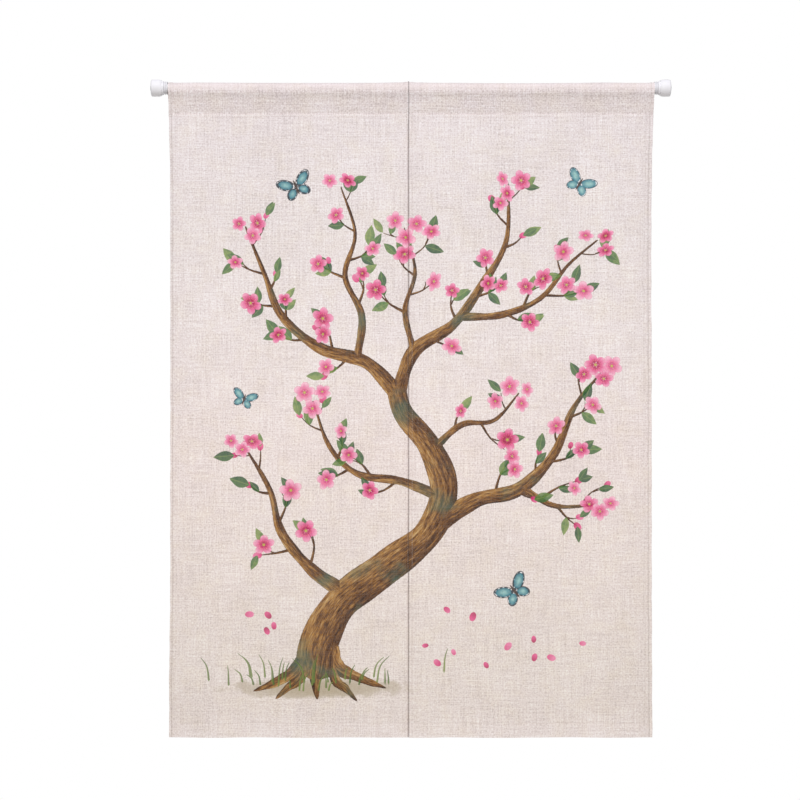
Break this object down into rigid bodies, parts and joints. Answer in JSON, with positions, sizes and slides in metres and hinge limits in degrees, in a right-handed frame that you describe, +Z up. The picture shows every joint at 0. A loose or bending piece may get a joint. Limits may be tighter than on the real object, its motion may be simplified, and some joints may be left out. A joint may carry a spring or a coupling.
{
  "type": "door curtain on tension rod",
  "caption": "Split door curtain of two plain hanging cloth panels with rod pockets, hung on a spring-tension rod with round end feet.",
  "frame": {"origin": "middle of the left foot's flat outer face, on the rod's axis", "axes": "+X along the rod from the left foot to the right foot, +Z up, and the printed front faces -Y"},
  "size_m": [0.937, 0.0306, 1.1842],
  "materials": {
    "cloth": "matt, slubby plain weave, printed on the front",
    "rod": "satin white",
    "foot": "white moulded plastic"
  },
  "bodies": {
    "root": {"left_panel": "cloth", "right_panel": "cloth", "outer_tube": "rod", "inner_tube": "rod", "left_collar": "foot", "right_collar": "foot", "left_foot": "foot", "right_foot": "foot"}
  },
  "joints": []
}
